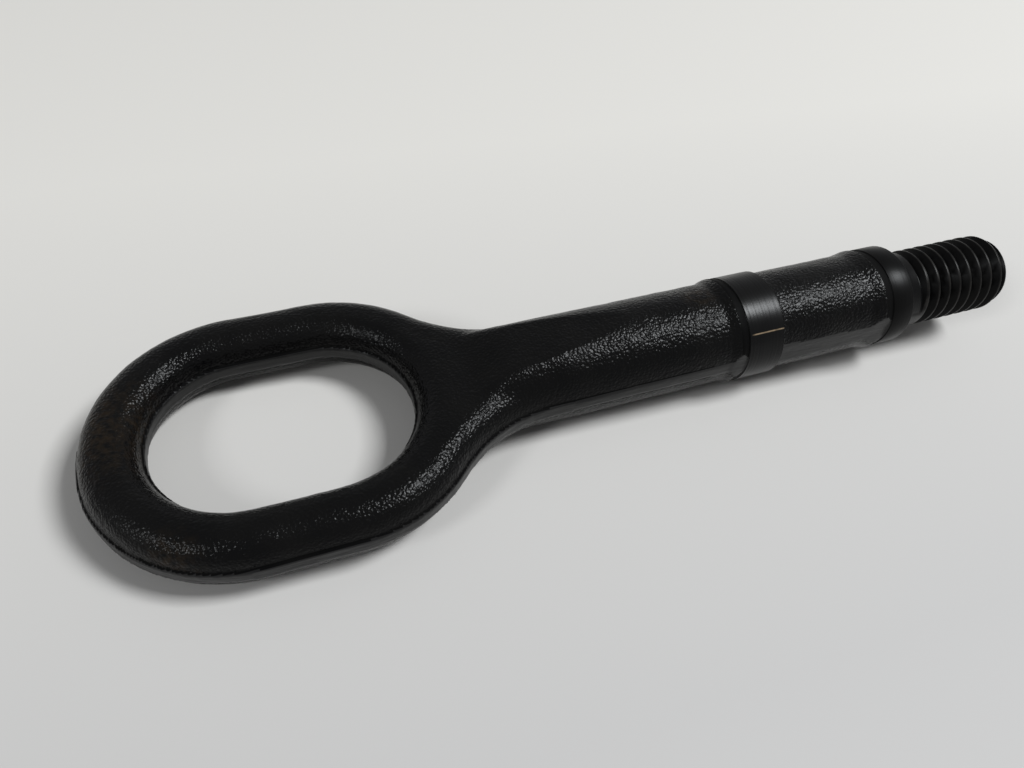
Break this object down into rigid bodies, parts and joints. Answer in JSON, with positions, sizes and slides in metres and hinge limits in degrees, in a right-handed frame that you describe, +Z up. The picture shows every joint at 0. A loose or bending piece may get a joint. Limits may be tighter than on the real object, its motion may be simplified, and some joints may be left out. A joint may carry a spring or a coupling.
{
  "type": "tow eye",
  "caption": "Forged steel tow eye: an oblong ring on a shank that swells to a flange, with two turned collars and a coarse left-hand thread to screw into a vehicle's towing socket.",
  "frame": {"origin": "on the surface that the eye lies on, under the middle of its length", "axes": "+X from the ring towards the thread, +Z up; the eye's own axis rises about 2.6 degrees towards the thread, because it lies on the ring's far end and on the shank"},
  "size_m": [0.2074, 0.0598, 0.0254],
  "materials": {
    "black_paint": "semi-gloss black paint over forged and turned steel"
  },
  "bodies": {
    "root": {"tow_eye": "black_paint"}
  },
  "joints": []
}
